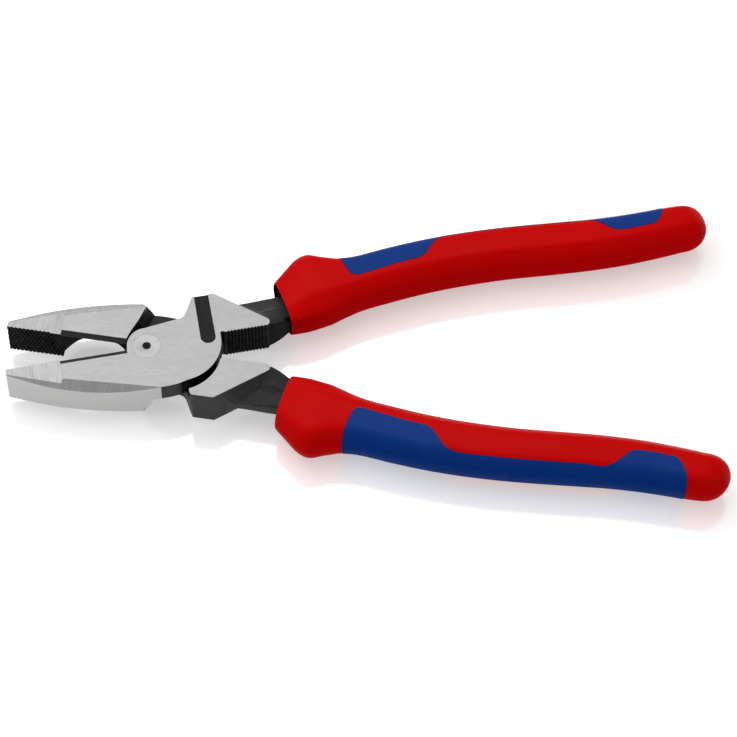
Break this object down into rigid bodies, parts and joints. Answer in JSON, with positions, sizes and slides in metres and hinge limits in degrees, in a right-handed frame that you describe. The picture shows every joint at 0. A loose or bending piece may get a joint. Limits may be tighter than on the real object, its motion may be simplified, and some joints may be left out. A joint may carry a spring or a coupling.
{
  "type": "lineman pliers",
  "caption": "Heavy combination pliers with knurled flat jaws, a side cutter, a riveted lap joint, rear teeth and two-component grips.",
  "frame": {"origin": "on the pivot axis, in the plane of the head's flat back face", "axes": "+X from the pivot toward the handles (the jaws point to -X), +Z along the pivot axis toward the front face, +Y toward lever A's handle"},
  "size_m": [0.2338, 0.1102, 0.0186],
  "materials": {
    "forged_steel": "ground faces, black oxide on the sides and arms",
    "rivet_steel": "ground flush",
    "hard_plastic": "satin moulded red",
    "soft_plastic": "matt fine-textured blue"
  },
  "bodies": {
    "lever_a_body": {"lever_a": "forged_steel", "pivot_rivet": "rivet_steel", "hard_grip_a": "hard_plastic", "soft_pad_a": "soft_plastic"},
    "lever_b_body": {"lever_b": "forged_steel", "hard_grip_b": "hard_plastic", "soft_pad_b": "soft_plastic"}
  },
  "joints": [
    {"name": "pivot", "type": "hinge", "parent": "lever_a_body", "child": "lever_b_body", "pos_m": [0, 0, 0.007], "axis": [0, 0, -1], "range_deg": [-20, 30]}
  ]
}
